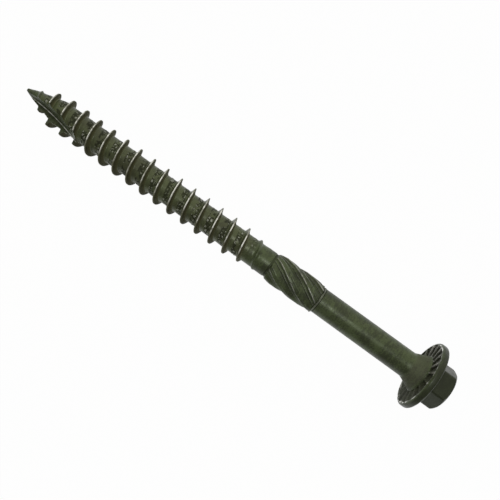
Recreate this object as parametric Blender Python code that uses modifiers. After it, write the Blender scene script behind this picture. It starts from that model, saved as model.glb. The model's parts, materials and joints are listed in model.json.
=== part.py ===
"""A hex flange timber screw: one cold-formed, thread-rolled and coated steel piece, lying at rest.

The screw is modelled upright on its own axis, local Z. Local z = 0 is the bearing face under the
flange, the tip points down, and local +X is the side that comes to lie on the floor.
"""

from math import atan2, cos, pi, radians, sin, sqrt, tan, tau

import bmesh
import bpy
import numpy as np
from mathutils import Euler, Vector

# Lengths along the axis, in metres
THREAD_LENGTH = 0.0550
NECK_LENGTH = 0.00165
REAMER_LENGTH = 0.0113
SHANK_LENGTH = 0.01995
UNDERHEAD_CONE_LENGTH = 0.0027
HEAD_HEIGHT = 0.0055

# Diameters
CORE_DIAMETER = 0.0049
SHANK_DIAMETER = 0.00505
UNDERHEAD_CONE_DIAMETER = 0.0074

# Point: a blunt nose, then a straight cone up to the core
NOSE_DIAMETER = 0.00055
NOSE_LENGTH = 0.0018
NOSE_BASE_DIAMETER = 0.0019
POINT_LENGTH = 0.0077

# Wood thread: one thin right-hand fin
THREAD_DIAMETER = 0.0070
THREAD_PITCH = 0.00315
CREST_WIDTH = 0.00017
FIN_WIDTH = 0.00072
ROOT_WIDTH = 0.00116
ROOT_FILLET = 0.00022
THREAD_START_ANGLE = radians(17.4)
CORE_STEP_LENGTH = 0.0008

# Height of the thread's crest: it starts behind the bare nose, is soon full, and runs out at the reamer
BARE_NOSE = 0.0019
LEAD_IN = 0.0050
RUN_OUT = 0.0062
CREST_START_DIAMETER = 0.0022
CREST_END_DIAMETER = 0.00515

# Reamer: broad saw-tooth ridges on the same hand as the thread
REAMER_DIAMETER = 0.0059
REAMER_GROOVE_DIAMETER = 0.0049
REAMER_LEAD = 0.0307
REAMER_RIDGES = 6
REAMER_CREST_ANGLE = radians(17.0)
REAMER_STEEP_ANGLE = radians(17.0)
REAMER_GROOVE_ANGLE = radians(6.0)
REAMER_TURN = radians(-6.0)
REAMER_STEPS = 14

# Flange, with saw-tooth pockets in its bearing face
FLANGE_DIAMETER = 0.0136
FLANGE_RIM_THICKNESS = 0.0014
FLANGE_RIM_ROUND = 0.00045
FLANGE_DOME_RISE = 0.0005
FLANGE_DOME_DIAMETER = 0.0094
POCKETS = 18
POCKET_INNER_DIAMETER = 0.0076
POCKET_OUTER_DIAMETER = 0.0126
POCKET_DEPTH = 0.00035
POCKET_LAND_ANGLE = radians(1.8)
POCKET_TURN = radians(5.5)

# Hexagon drive
HEX_ACROSS_FLATS = 0.0076
HEX_CORNER_RADIUS = 0.0006
HEX_END_FACE_DIAMETER = 0.0060
HEX_END_ROUND = 0.0016
HEX_TURN = radians(17.5)

# Cutting flute at the point: the square corner of a disc cutter
FLUTE_CUTTER_DIAMETER = 0.0845
FLUTE_BOTTOM_OFFSET = 0.00056
FLUTE_FACE_OFFSET = 0.00040
FLUTE_DEEPEST_FROM_TIP = 0.0005
FLUTE_ANGLE = radians(247.0)
FLUTE_CUTTER_SIDES = 240

# Facets in one turn of everything round
SEGMENTS = 28
ARC_STEPS = 3

# A tool that is to cut right through reaches this far beyond the face, and hidden joints this far inside
CLEARANCE = 0.0005
OVERLAP = 0.00015

# Coating
COATING_COLOUR = (0.072, 0.075, 0.048, 1.0)
COATING_ROUGHNESS = 0.42
COATING_METALLIC = 0.55

# Stations along the axis
CONE_BOTTOM = -UNDERHEAD_CONE_LENGTH
REAMER_TOP = CONE_BOTTOM - SHANK_LENGTH
REAMER_BOTTOM = REAMER_TOP - REAMER_LENGTH
THREAD_TOP = REAMER_BOTTOM - NECK_LENGTH
TIP = THREAD_TOP - THREAD_LENGTH
THREAD_BOTTOM = TIP + BARE_NOSE


def clear_scene():
    for item in list(bpy.data.objects):
        bpy.data.objects.remove(item, do_unlink=True)


def new_collection(name):
    collection = bpy.data.collections.new(name)
    bpy.context.scene.collection.children.link(collection)
    return collection


def new_object(name, mesh, collection):
    item = bpy.data.objects.new(name, mesh)
    collection.objects.link(item)
    return item


def outline_mesh(name, points, closed):
    """A mesh of one line of edges through the points, closed into a loop or left open."""
    mesh = bpy.data.meshes.new(name)
    edges = [(index, index + 1) for index in range(len(points) - 1)]
    if closed:
        edges.append((len(points) - 1, 0))
    mesh.from_pydata(points, edges, [])
    return mesh


def add_screw(item, angle, rise, steps):
    screw = item.modifiers.new("turn", "SCREW")
    screw.axis = "Z"
    screw.angle = angle
    screw.screw_offset = rise
    screw.steps = steps
    screw.render_steps = steps
    screw.use_merge_vertices = True
    screw.merge_threshold = 1e-6


def add_boolean(item, operation, other):
    boolean = item.modifiers.new(other.name, "BOOLEAN")
    boolean.operation = operation
    boolean.solver = "EXACT"
    boolean.object = other


def apply_modifiers(item):
    graph = bpy.context.evaluated_depsgraph_get()
    mesh = bpy.data.meshes.new_from_object(item.evaluated_get(graph))
    item.modifiers.clear()
    item.data = mesh


def close_body(item):
    """Merges the seam, caps open ends and turns every face outward."""
    body = bmesh.new()
    body.from_mesh(item.data)
    bmesh.ops.remove_doubles(body, verts=body.verts, dist=1e-7)
    bmesh.ops.holes_fill(body, edges=body.edges, sides=0)
    bmesh.ops.recalc_face_normals(body, faces=body.faces)
    body.to_mesh(item.data)
    body.free()


def around(radius, height, angle):
    return Vector((radius * cos(angle), radius * sin(angle), height))


def turned(name, profile, collection):
    """A solid of revolution; its profile runs from axis to axis, and a flat of it faces local +X."""
    points = [around(radius, height, pi / SEGMENTS) for radius, height in profile]
    item = new_object(name, outline_mesh(name, points, closed=False), collection)
    add_screw(item, tau, 0.0, SEGMENTS)
    apply_modifiers(item)
    close_body(item)
    return item


def swept(name, section, angle, rise, steps, collection):
    """A closed section carried along a helix about local Z, with both ends capped."""
    item = new_object(name, outline_mesh(name, section, closed=True), collection)
    add_screw(item, angle, rise, steps)
    apply_modifiers(item)
    close_body(item)
    return item


def arc(centre_radius, centre_height, radius, start, end):
    """Points of a round edge in the profile plane, from angle start to angle end."""
    points = []
    for step in range(ARC_STEPS + 1):
        angle = start + (end - start) * step / ARC_STEPS
        points.append((centre_radius + radius * cos(angle), centre_height + radius * sin(angle)))
    return points


def blank_profile():
    """Half outline of the forged blank, from the flange down to the tip."""
    core = CORE_DIAMETER / 2
    shank = SHANK_DIAMETER / 2
    relief = REAMER_GROOVE_DIAMETER / 2 - OVERLAP
    rim = FLANGE_DIAMETER / 2
    rim_round = FLANGE_RIM_ROUND
    dome = FLANGE_RIM_THICKNESS + FLANGE_DOME_RISE
    upper = arc(rim - rim_round, FLANGE_RIM_THICKNESS - rim_round, rim_round, pi / 2, 0.0)
    lower = arc(rim - rim_round, rim_round, rim_round, 0.0, -pi / 2)
    head = [(0.0, dome), (FLANGE_DOME_DIAMETER / 2, dome)] + upper + lower
    shaft = [
        (UNDERHEAD_CONE_DIAMETER / 2, 0.0),
        (shank, CONE_BOTTOM),
        (shank, REAMER_TOP - OVERLAP),
        (relief, REAMER_TOP - OVERLAP),
        (relief, REAMER_BOTTOM + OVERLAP),
        (shank, REAMER_BOTTOM + OVERLAP),
        (shank, THREAD_TOP),
        (core, THREAD_TOP - CORE_STEP_LENGTH),
    ]
    point = [
        (core, TIP + POINT_LENGTH),
        (NOSE_BASE_DIAMETER / 2, TIP + NOSE_LENGTH),
        (NOSE_DIAMETER / 2, TIP),
        (0.0, TIP),
    ]
    return head + shaft + point


def crest_radius(height):
    """Radius of the thread's crest: full along the thread, and sinking into the core at both ends."""
    heights = [THREAD_BOTTOM, THREAD_BOTTOM + LEAD_IN, THREAD_TOP - RUN_OUT, THREAD_TOP]
    diameters = [CREST_START_DIAMETER, THREAD_DIAMETER, THREAD_DIAMETER, CREST_END_DIAMETER]
    return float(np.interp(height, heights, diameters)) / 2


def fin_section():
    """Section of the fin at the start of the thread, with filleted roots that go down inside the core."""
    core = CORE_DIAMETER / 2
    half = [
        (CREST_WIDTH / 2, THREAD_DIAMETER / 2),
        (FIN_WIDTH / 2, core + ROOT_FILLET),
        (ROOT_WIDTH / 2, core - CREST_WIDTH / 2),
        (FIN_WIDTH / 2, NOSE_BASE_DIAMETER / 2),
    ]
    outline = half + [(-width, radius) for width, radius in reversed(half)]
    return [around(radius, THREAD_BOTTOM + width, THREAD_START_ANGLE) for width, radius in outline]


def make_thread(tools):
    """The wood thread: the fin's section on a helix, drawn in towards the axis at both ends."""
    facets = round((THREAD_TOP - THREAD_BOTTOM) / THREAD_PITCH * SEGMENTS)
    turns = facets / SEGMENTS
    fin = swept("fin", fin_section(), turns * tau, turns * THREAD_PITCH, facets, tools)
    for vertex in fin.data.vertices:
        scale = crest_radius(vertex.co.z) / (THREAD_DIAMETER / 2)
        vertex.co.x *= scale
        vertex.co.y *= scale
    return fin


def ease(start, end, share):
    return start + (end - start) * (1 - cos(pi * share)) / 2


def ridge_outline():
    """One ridge of the reamer's cross-section: broad crest, steep side, groove and rising back."""
    crest = REAMER_DIAMETER / 2
    groove = REAMER_GROOVE_DIAMETER / 2
    steep_end = REAMER_CREST_ANGLE + REAMER_STEEP_ANGLE
    back_start = steep_end + REAMER_GROOVE_ANGLE
    back_angle = tau / REAMER_RIDGES - back_start
    outline = [(0.0, crest), (REAMER_CREST_ANGLE / 2, crest), (REAMER_CREST_ANGLE, crest)]
    outline.append((REAMER_CREST_ANGLE + REAMER_STEEP_ANGLE / 2, ease(crest, groove, 0.5)))
    outline.append((steep_end, groove))
    for share in (0.0, 0.35, 0.7):
        outline.append((back_start + back_angle * share, ease(groove, crest, share)))
    return outline


def make_reamer(tools):
    """The milling ridges above the thread: a saw-tooth star carried along a steep helix."""
    section = []
    for ridge in range(REAMER_RIDGES):
        start = REAMER_TURN + ridge * tau / REAMER_RIDGES
        for angle, radius in ridge_outline():
            section.append(around(radius, REAMER_BOTTOM, start + angle))
    angle = REAMER_LENGTH / REAMER_LEAD * tau
    return swept("reamer", section, angle, REAMER_LENGTH, REAMER_STEPS, tools)


def end_round_profile():
    """Outline of the turned form that rounds off the end of the hexagon."""
    face = HEX_END_FACE_DIAMETER / 2
    corner = HEX_ACROSS_FLATS / sqrt(3) + CLEARANCE
    reach = min((corner - face) / HEX_END_ROUND, 1.0)
    round_points = []
    for step in range(2 * ARC_STEPS + 1):
        share = reach * step / (2 * ARC_STEPS)
        drop = HEX_END_ROUND * (1 - sqrt(1 - share * share))
        round_points.append((face + HEX_END_ROUND * share, HEAD_HEIGHT - drop))
    edge = round_points[-1][0]
    return [(0.0, HEAD_HEIGHT)] + round_points + [(edge, 0.0), (0.0, 0.0)]


def make_hexagon(tools):
    """The hexagon with rounded corners, ending in a rounded-off face."""
    bottom = FLANGE_RIM_THICKNESS / 2
    body = bmesh.new()
    bmesh.ops.create_cone(
        body,
        cap_ends=True,
        segments=6,
        radius1=HEX_ACROSS_FLATS / sqrt(3),
        radius2=HEX_ACROSS_FLATS / sqrt(3),
        depth=HEAD_HEIGHT + CLEARANCE - bottom,
    )
    body.verts.ensure_lookup_table()
    corner_angle = atan2(body.verts[0].co.y, body.verts[0].co.x)
    corners = [edge for edge in body.edges if abs(edge.verts[0].co.z - edge.verts[1].co.z) > CLEARANCE]
    cut = HEX_CORNER_RADIUS * tan(pi / 6)
    bmesh.ops.bevel(body, geom=corners, offset=cut, segments=ARC_STEPS, affect="EDGES", profile=0.5)
    mesh = bpy.data.meshes.new("hexagon")
    body.to_mesh(mesh)
    body.free()
    hexagon = new_object("hexagon", mesh, tools)
    hexagon.rotation_euler.z = HEX_TURN - corner_angle
    hexagon.location.z = (HEAD_HEIGHT + CLEARANCE + bottom) / 2
    add_boolean(hexagon, "INTERSECT", turned("hexagon_end", end_round_profile(), tools))
    return hexagon


def make_pockets(tools):
    """The saw-tooth pockets in the bearing face: each one drops at a steep radial face and ramps out again."""
    inner = POCKET_INNER_DIAMETER / 2
    outer = POCKET_OUTER_DIAMETER / 2
    angle = tau / POCKETS - POCKET_LAND_ANGLE
    shallow = -OVERLAP / 10
    fall = shallow - POCKET_DEPTH
    body = bmesh.new()
    for pocket in range(POCKETS):
        start = POCKET_TURN + POCKET_LAND_ANGLE + pocket * tau / POCKETS
        corners = [(inner, POCKET_DEPTH), (outer, POCKET_DEPTH), (outer, -CLEARANCE), (inner, -CLEARANCE)]
        section = [around(radius, height, start) for radius, height in corners]
        cutter = swept("pocket", section, angle, fall, ARC_STEPS, tools)
        body.from_mesh(cutter.data)
        bpy.data.objects.remove(cutter, do_unlink=True)
    mesh = bpy.data.meshes.new("pockets")
    body.to_mesh(mesh)
    body.free()
    return new_object("pockets", mesh, tools)


def make_flute(tools):
    """The disc cutter of the flute: its rim leaves the curved wall and its flat side the straight one."""
    radius = FLUTE_CUTTER_DIAMETER / 2
    thickness = FLUTE_FACE_OFFSET + THREAD_DIAMETER
    bpy.ops.mesh.primitive_cylinder_add(vertices=FLUTE_CUTTER_SIDES, radius=radius, depth=thickness)
    cutter = bpy.context.object
    cutter.name = "flute_cutter"
    for collection in list(cutter.users_collection):
        collection.objects.unlink(cutter)
    tools.objects.link(cutter)
    outward = around(1.0, 0.0, FLUTE_ANGLE)
    side = around(1.0, 0.0, FLUTE_ANGLE - pi / 2)
    cutter.rotation_euler = side.to_track_quat("Z", "Y").to_euler()
    cutter.location = outward * (FLUTE_BOTTOM_OFFSET + radius) + side * (thickness / 2 - FLUTE_FACE_OFFSET)
    cutter.location.z = TIP + FLUTE_DEEPEST_FROM_TIP
    return cutter


def make_coating():
    material = bpy.data.materials.new("olive_coating")
    material.use_nodes = True
    shader = material.node_tree.nodes["Principled BSDF"]
    shader.inputs["Base Color"].default_value = COATING_COLOUR
    shader.inputs["Roughness"].default_value = COATING_ROUGHNESS
    shader.inputs["Metallic"].default_value = COATING_METALLIC
    return material


def resting_slope(points, centre_height):
    """Slope of the floor against the axis: the side of the outline's hull that lies under the centre of mass."""
    order = points[np.argsort(points[:, 2])]
    hull = []
    for height, depth in zip(order[:, 2], order[:, 0]):
        while len(hull) > 1:
            (h1, d1), (h2, d2) = hull[-2], hull[-1]
            if (d2 - d1) * (height - h1) > (depth - d1) * (h2 - h1):
                break
            hull.pop()
        hull.append((height, depth))
    for (h1, d1), (h2, d2) in zip(hull, hull[1:]):
        if h1 <= centre_height <= h2:
            return (d2 - d1) / (h2 - h1)
    return 0.0


def centre_of_mass(mesh):
    mesh.calc_loop_triangles()
    points = np.array([vertex.co for vertex in mesh.vertices])
    corners = points[np.array([triangle.vertices for triangle in mesh.loop_triangles])]
    volumes = np.einsum("ij,ij->i", corners[:, 0], np.cross(corners[:, 1], corners[:, 2]))
    return (volumes[:, None] * corners.sum(axis=1) / 4).sum(axis=0) / volumes.sum()


def lay_down(screw):
    """Lays the screw on the floor, on its flange and on the thread, over the middle of its own outline."""
    points = np.array([vertex.co for vertex in screw.data.vertices])
    slope = resting_slope(points, centre_of_mass(screw.data)[2])
    screw.rotation_euler = Euler((0.0, pi / 2 - atan2(slope, 1.0), 0.0))
    turned_points = points @ np.array(screw.rotation_euler.to_matrix()).T
    low = turned_points.min(axis=0)
    high = turned_points.max(axis=0)
    middle = (low + high) / 2
    screw.location = Vector((-middle[0], -middle[1], -low[2]))


def hide_tools(tools):
    for item in tools.objects:
        item.hide_render = True
        item.display_type = "WIRE"


def main():
    clear_scene()
    product = new_collection("timber_screw")
    tools = new_collection("cutters")
    screw = turned("timber_screw", blank_profile(), product)
    add_boolean(screw, "UNION", make_thread(tools))
    add_boolean(screw, "UNION", make_reamer(tools))
    add_boolean(screw, "UNION", make_hexagon(tools))
    add_boolean(screw, "DIFFERENCE", make_pockets(tools))
    add_boolean(screw, "DIFFERENCE", make_flute(tools))
    apply_modifiers(screw)
    screw.data.materials.clear()
    screw.data.materials.append(make_coating())
    screw.data.shade_smooth()
    screw.data.set_sharp_from_angle(angle=radians(28.0))
    lay_down(screw)
    hide_tools(tools)


main()
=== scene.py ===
"""The looks of a hex flange timber screw, lying at rest on a white floor and seen from straight above.

The screw is one piece of steel, so it is one mesh. It is made upright on its own axis in the order in which
the real one is made: the forged blank with its head, the rolled thread, the reamer, the pockets under the
flange, the fluted point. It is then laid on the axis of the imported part.
"""

import json
from math import atan, cos, pi, radians, sin, tau

import bmesh
import bpy
import numpy as np
from mathutils import Matrix, Vector


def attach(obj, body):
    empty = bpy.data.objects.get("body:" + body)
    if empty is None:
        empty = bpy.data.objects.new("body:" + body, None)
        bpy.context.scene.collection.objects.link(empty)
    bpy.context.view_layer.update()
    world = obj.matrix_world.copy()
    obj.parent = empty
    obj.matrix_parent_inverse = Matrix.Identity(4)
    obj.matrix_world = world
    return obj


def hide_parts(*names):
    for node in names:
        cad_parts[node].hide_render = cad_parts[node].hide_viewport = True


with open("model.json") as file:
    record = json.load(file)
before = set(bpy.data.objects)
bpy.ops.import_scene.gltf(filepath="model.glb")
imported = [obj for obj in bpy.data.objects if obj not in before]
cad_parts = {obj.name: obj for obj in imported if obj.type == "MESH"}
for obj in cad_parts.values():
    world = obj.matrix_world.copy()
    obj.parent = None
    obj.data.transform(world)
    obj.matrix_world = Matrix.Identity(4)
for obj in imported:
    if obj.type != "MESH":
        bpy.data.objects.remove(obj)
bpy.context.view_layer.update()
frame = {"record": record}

# The coating
# Cold-formed carbon steel. The coat is taken to be zinc flake under a thin olive organic seal, dipped and
# baked on. It gives the eye a satin film with faint clouds, browner on the thread, and rubbed on sharp edges.
# Painted shade darkens the hollows and the side away from the light, and painted highlights lie on edges.
COAT_OLIVE = "#485336"
COAT_SHADE = "#343b27"
THREAD_TAN = "#605f44"
FORGED_SHADE = "#23281a"
SCALE_GREY = "#56564a"
PAINTED_SHADE_COLOUR = "#17180e"
BARE_STEEL_AND_HIGHLIGHT = "#e9eae6"
THREAD_TAN_SHARE = 0.8
FORGED_SHARE = 0.8
SCALE_SHARE = 0.4
SEAM_SHADOW_SHARE = 0.72
STROKE_HIGHLIGHT_SHARE = 0.21
LEAST_PAINTED_SHADE = 0.6
PAINTED_SHADE_BLOTCHES = (0.35, 0.65)
LEAST_WEAR = 0.3
WEAR_BLOTCHES = (0.40, 0.54)

# The clouds stand for uneven draining of the dip, the blotches for the baking and the ripple for the dies.
# Their sizes were set against the photograph, and weren't measured on a real screw.
CLOUD_SIZE = 0.0042
BLOTCH_SIZE = 0.0010
RIPPLE_SIZE = 0.0016
RIPPLE_HEIGHT = 0.000030
# Zinc flakes are taken as 0.02 mm, and the lines that rolling leaves round a screw as 0.1 mm apart, which are
# assumed values. Both are too fine to show here, so they are drawn coarser: 0.3 mm, and 0.35 mm apart.
GRAIN_SIZE = 0.00030
GRAIN_HEIGHT = 0.000010
ROLLED_SIZE = 0.0014
ROLLED_STRETCH = 4.0
SPECKLE_SHARE = 0.6
CLOUD_START = 0.98
CLOUD_FULL = 1.22

COAT_METALLIC = 0.25
STEEL_METALLIC = 0.9
COAT_ROUGHNESS = (0.30, 0.44)
ROUGHNESS_BLOTCHES = (0.3, 0.7)
DULL_FLANK_START = 0.3
DULL_ROUGHNESS = 0.3
COAT_SHINE = 0.36
DULL_SHINE = 0.1

# The marks of the thread rolling dies: small square blocks, missing here and there. The blocks get a
# painted highlight and the seams between them a painted shadow.
DIE_STROKE_CELL = 0.00066
DIE_STROKE_HEIGHT = 0.00007
BLOCK_START = 0.24
BLOCK_FULL = 0.40
SEAM_START = 0.26
SEAM_FULL = 0.12
BREAKS_PER_CELL = 0.75
BREAK_START = 0.38
BREAK_END = 0.44

MATH = "ShaderNodeMath"
RANGE = "ShaderNodeMapRange"
NOISE = "ShaderNodeTexNoise"
CELLS = "ShaderNodeTexVoronoi"
MIX = "ShaderNodeMix"
ATTRIBUTE = "ShaderNodeAttribute"
BUMP = "ShaderNodeBump"
VECTOR_MATH = "ShaderNodeVectorMath"
PLUS = {"operation": "ADD"}
MINUS = {"operation": "SUBTRACT"}
TIMES = {"operation": "MULTIPLY"}
TIMES_PLUS = {"operation": "MULTIPLY_ADD"}
CLAMPED_TIMES = {"operation": "MULTIPLY", "use_clamp": True}
LARGER = {"operation": "MAXIMUM"}
COLOURS = {"data_type": "RGBA"}
MIX_SHARE = 0
MIX_FIRST = 6
MIX_SECOND = 7


def linear(colour):
    """The linear value of an sRGB colour written as #rrggbb."""
    values = [int(colour[place : place + 2], 16) / 255 for place in (1, 3, 5)]
    curved = [((value + 0.055) / 1.055) ** 2.4 for value in values]
    return [value / 12.92 if value <= 0.04045 else curve for value, curve in zip(values, curved)] + [1.0]


def add_node(tree, kind, settings=None, links=None):
    """Adds a node, sets its settings, and gives each input a value, a socket or a node's own output."""
    node = tree.nodes.new(kind)
    for name, value in (settings or {}).items():
        setattr(node, name, value)
    for name, value in (links or {}).items():
        if isinstance(value, bpy.types.Node):
            value = next(socket for socket in value.outputs if socket.enabled)
        if isinstance(value, bpy.types.NodeSocket):
            tree.links.new(value, node.inputs[name])
        else:
            node.inputs[name].default_value = value
    return node


def die_strokes(tree, place):
    """Small square blocks, broken at random: how far a place is on one, and how far it is in a seam."""
    cells = {"Vector": place, "Scale": 1 / DIE_STROKE_CELL}
    nearest = add_node(tree, CELLS, {"feature": "F1", "distance": "CHEBYCHEV"}, cells)
    second = add_node(tree, CELLS, {"feature": "F2", "distance": "CHEBYCHEV"}, cells)
    apart = add_node(tree, MATH, MINUS, {0: second.outputs["Distance"], 1: nearest.outputs["Distance"]})
    on_block = add_node(tree, RANGE, {}, {"Value": apart, "From Min": BLOCK_START, "From Max": BLOCK_FULL})
    in_seam = add_node(tree, RANGE, {}, {"Value": apart, "From Min": SEAM_START, "From Max": SEAM_FULL})
    breaks = {"Vector": place, "Scale": BREAKS_PER_CELL / DIE_STROKE_CELL, "Detail": 0.0}
    broken = add_node(tree, NOISE, {}, breaks)
    kept = add_node(tree, RANGE, {}, {"Value": broken, "From Min": BREAK_START, "From Max": BREAK_END})
    block = add_node(tree, MATH, TIMES, {0: on_block, 1: kept})
    seam = add_node(tree, MATH, TIMES, {0: in_seam, 1: kept})
    return block, seam


def build_coating():
    """The clouded coat, tones by place, painted shade, wear and painted highlights, roughness, relief."""
    material = bpy.data.materials.new("olive_seal_coat_on_steel")
    material.use_nodes = True
    tree = material.node_tree
    shader = tree.nodes["Principled BSDF"]
    place = add_node(tree, "ShaderNodeTexCoord").outputs["Object"]
    upright = add_node(tree, ATTRIBUTE, {"attribute_name": "upright"}).outputs["Vector"]
    made = {}
    for name in ("flank", "painted_shade", "rubbed_and_highlit", "forged", "marked", "matte"):
        made[name] = add_node(tree, ATTRIBUTE, {"attribute_name": name}).outputs["Fac"]

    cloud = add_node(tree, NOISE, {}, {"Vector": place, "Scale": 1 / CLOUD_SIZE, "Detail": 3.0})
    blotch = add_node(tree, NOISE, {}, {"Vector": place, "Scale": 1 / BLOTCH_SIZE, "Detail": 4.0})
    grain = add_node(tree, NOISE, {}, {"Vector": place, "Scale": 1 / GRAIN_SIZE, "Detail": 2.0})
    ripple = add_node(tree, NOISE, {}, {"Vector": place, "Scale": 1 / RIPPLE_SIZE, "Detail": 2.0})
    squeezed = add_node(tree, VECTOR_MATH, TIMES, {0: upright, 1: (1.0, 1.0, ROLLED_STRETCH)})
    rolled = add_node(tree, NOISE, {}, {"Vector": squeezed, "Scale": 1 / ROLLED_SIZE, "Detail": 2.0})
    speckled = add_node(tree, MATH, TIMES_PLUS, {0: grain, 1: SPECKLE_SHARE, 2: cloud})
    lined = add_node(tree, MATH, TIMES_PLUS, {0: rolled, 1: SPECKLE_SHARE, 2: speckled})
    clouded = add_node(tree, RANGE, {}, {"Value": lined, "From Min": CLOUD_START, "From Max": CLOUD_FULL})

    tan = add_node(tree, MATH, TIMES, {0: made["flank"], 1: THREAD_TAN_SHARE})
    forged = add_node(tree, MATH, TIMES, {0: made["forged"], 1: FORGED_SHARE})
    scale = add_node(tree, MATH, TIMES, {0: made["matte"], 1: SCALE_SHARE})

    stroke, seam = die_strokes(tree, upright)
    # Painted shade: darker in the hollows and on the unlit side, and a painted shadow in the die seams.
    low, high = PAINTED_SHADE_BLOTCHES
    blotches = {"Value": blotch, "From Min": low, "From Max": high, "To Min": LEAST_PAINTED_SHADE}
    blotched = add_node(tree, RANGE, {}, blotches)
    shade_in_hollows = add_node(tree, MATH, CLAMPED_TIMES, {0: made["painted_shade"], 1: blotched})
    seams = add_node(tree, MATH, TIMES, {0: seam, 1: made["marked"]})
    seam_shadow = add_node(tree, MATH, TIMES, {0: seams, 1: SEAM_SHADOW_SHARE})
    painted_shade_share = add_node(tree, MATH, LARGER, {0: shade_in_hollows, 1: seam_shadow})

    # Wear on edges, and painted highlights on the lit side, in the flute's corner, at the rim and on die
    # blocks.
    low, high = WEAR_BLOTCHES
    patches = {"Value": blotch, "From Min": low, "From Max": high, "To Min": LEAST_WEAR}
    patchy = add_node(tree, RANGE, {}, patches)
    edges = add_node(tree, MATH, CLAMPED_TIMES, {0: made["rubbed_and_highlit"], 1: patchy})
    strokes = add_node(tree, MATH, TIMES, {0: stroke, 1: made["marked"]})
    stroke_highlight = add_node(tree, MATH, TIMES, {0: strokes, 1: STROKE_HIGHLIGHT_SHARE})
    worn_and_highlit = add_node(tree, MATH, LARGER, {0: edges, 1: stroke_highlight})

    colour = linear(COAT_OLIVE)
    tones = (
        (clouded, COAT_SHADE),
        (tan, THREAD_TAN),
        (forged, FORGED_SHADE),
        (scale, SCALE_GREY),
        (painted_shade_share, PAINTED_SHADE_COLOUR),
        (worn_and_highlit, BARE_STEEL_AND_HIGHLIGHT),
    )
    for share, tone in tones:
        colour = add_node(tree, MIX, COLOURS, {MIX_SHARE: share, MIX_FIRST: colour, MIX_SECOND: linear(tone)})

    metal = add_node(tree, RANGE, {}, {"Value": worn_and_highlit, "To Min": COAT_METALLIC, "To Max": STEEL_METALLIC})
    on_fin = add_node(tree, RANGE, {}, {"Value": made["flank"], "From Min": DULL_FLANK_START})
    dull = add_node(tree, MATH, LARGER, {0: painted_shade_share, 1: on_fin})
    shine = add_node(tree, RANGE, {}, {"Value": dull, "To Min": COAT_SHINE, "To Max": DULL_SHINE})
    dull_or_scaled = add_node(tree, MATH, LARGER, {0: dull, 1: made["matte"]})
    low, high = ROUGHNESS_BLOTCHES
    least, most = COAT_ROUGHNESS
    gloss = {"Value": blotch, "From Min": low, "From Max": high, "To Min": least, "To Max": most}
    satin = add_node(tree, RANGE, {}, gloss)
    rough = add_node(tree, MATH, TIMES_PLUS, {0: dull_or_scaled, 1: DULL_ROUGHNESS, 2: satin})

    struck = add_node(tree, BUMP, {}, {"Height": strokes, "Distance": DIE_STROKE_HEIGHT})
    rippled = add_node(tree, BUMP, {}, {"Height": ripple, "Distance": RIPPLE_HEIGHT, "Normal": struck})
    grained = add_node(tree, BUMP, {}, {"Height": grain, "Distance": GRAIN_HEIGHT, "Normal": rippled})
    tree.links.new(colour.outputs[2], shader.inputs["Base Color"])
    tree.links.new(metal.outputs["Result"], shader.inputs["Metallic"])
    tree.links.new(rough.outputs["Value"], shader.inputs["Roughness"])
    tree.links.new(shine.outputs["Result"], shader.inputs["Specular IOR Level"])
    tree.links.new(grained.outputs["Normal"], shader.inputs["Normal"])
    return material


coating = build_coating()

# The blank
# A length of steel wire with a forged head: flange, hexagon and cone. It is made as rows of points from the
# nose up, and where the thread will be, the rows climb with its helix. Height 0 is the bearing face.
THREAD_LENGTH = 0.0550
NECK_LENGTH = 0.00165
REAMER_LENGTH = 0.0113
SHANK_LENGTH = 0.01995
UNDERHEAD_CONE_LENGTH = 0.0027
HEAD_HEIGHT = 0.0055
CORE_DIAMETER = 0.0049
SHANK_DIAMETER = 0.00505
UNDERHEAD_CONE_DIAMETER = 0.0074
CORE_STEP_LENGTH = 0.0008
NOSE_DIAMETER = 0.00055
NOSE_LENGTH = 0.0018
NOSE_BASE_DIAMETER = 0.0019
POINT_LENGTH = 0.0077
BARE_NOSE = 0.0019
FLANGE_DIAMETER = 0.0136
FLANGE_RIM_THICKNESS = 0.0014
FLANGE_RIM_ROUND = 0.00045
FLANGE_DOME_RISE = 0.0005
FLANGE_DOME_DIAMETER = 0.0094
HEX_ACROSS_FLATS = 0.0076
HEX_CORNER_RADIUS = 0.0006
HEX_ROOT_FILLET = 0.00015
HEX_END_FACE_DIAMETER = 0.0060
HEX_END_ROUND = 0.0016
HEX_TURN = radians(17.5)
REAMER_RIDGES = 6
REAMER_LEAD = 0.0307
REAMER_TURN = radians(-6.0)
POCKETS = 18
POCKET_INNER_DIAMETER = 0.0076
POCKET_OUTER_DIAMETER = 0.0126
POCKET_TURN = radians(5.5)
POCKET_LAND_SHARE = 0.09
THREAD_PITCH = 0.00315
THREAD_START_ANGLE = radians(17.4)
CREST_WIDTH = 0.00017
FIN_WIDTH = 0.00072
ROOT_WIDTH = 0.00116
COLUMNS = 108
HELIX_TURNS = 16
HELIX_START = 0.0001
STEP_WIDTH = 0.00002
MERGE_DISTANCE = 1e-7

CONE_BOTTOM = -UNDERHEAD_CONE_LENGTH
REAMER_TOP = CONE_BOTTOM - SHANK_LENGTH
REAMER_BOTTOM = REAMER_TOP - REAMER_LENGTH
THREAD_TOP = REAMER_BOTTOM - NECK_LENGTH
TIP = THREAD_TOP - THREAD_LENGTH
THREAD_BOTTOM = TIP + BARE_NOSE
HELIX_BOTTOM = THREAD_BOTTOM + HELIX_START
HELIX_TOP = HELIX_BOTTOM + (HELIX_TURNS + 1) * THREAD_PITCH

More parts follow.
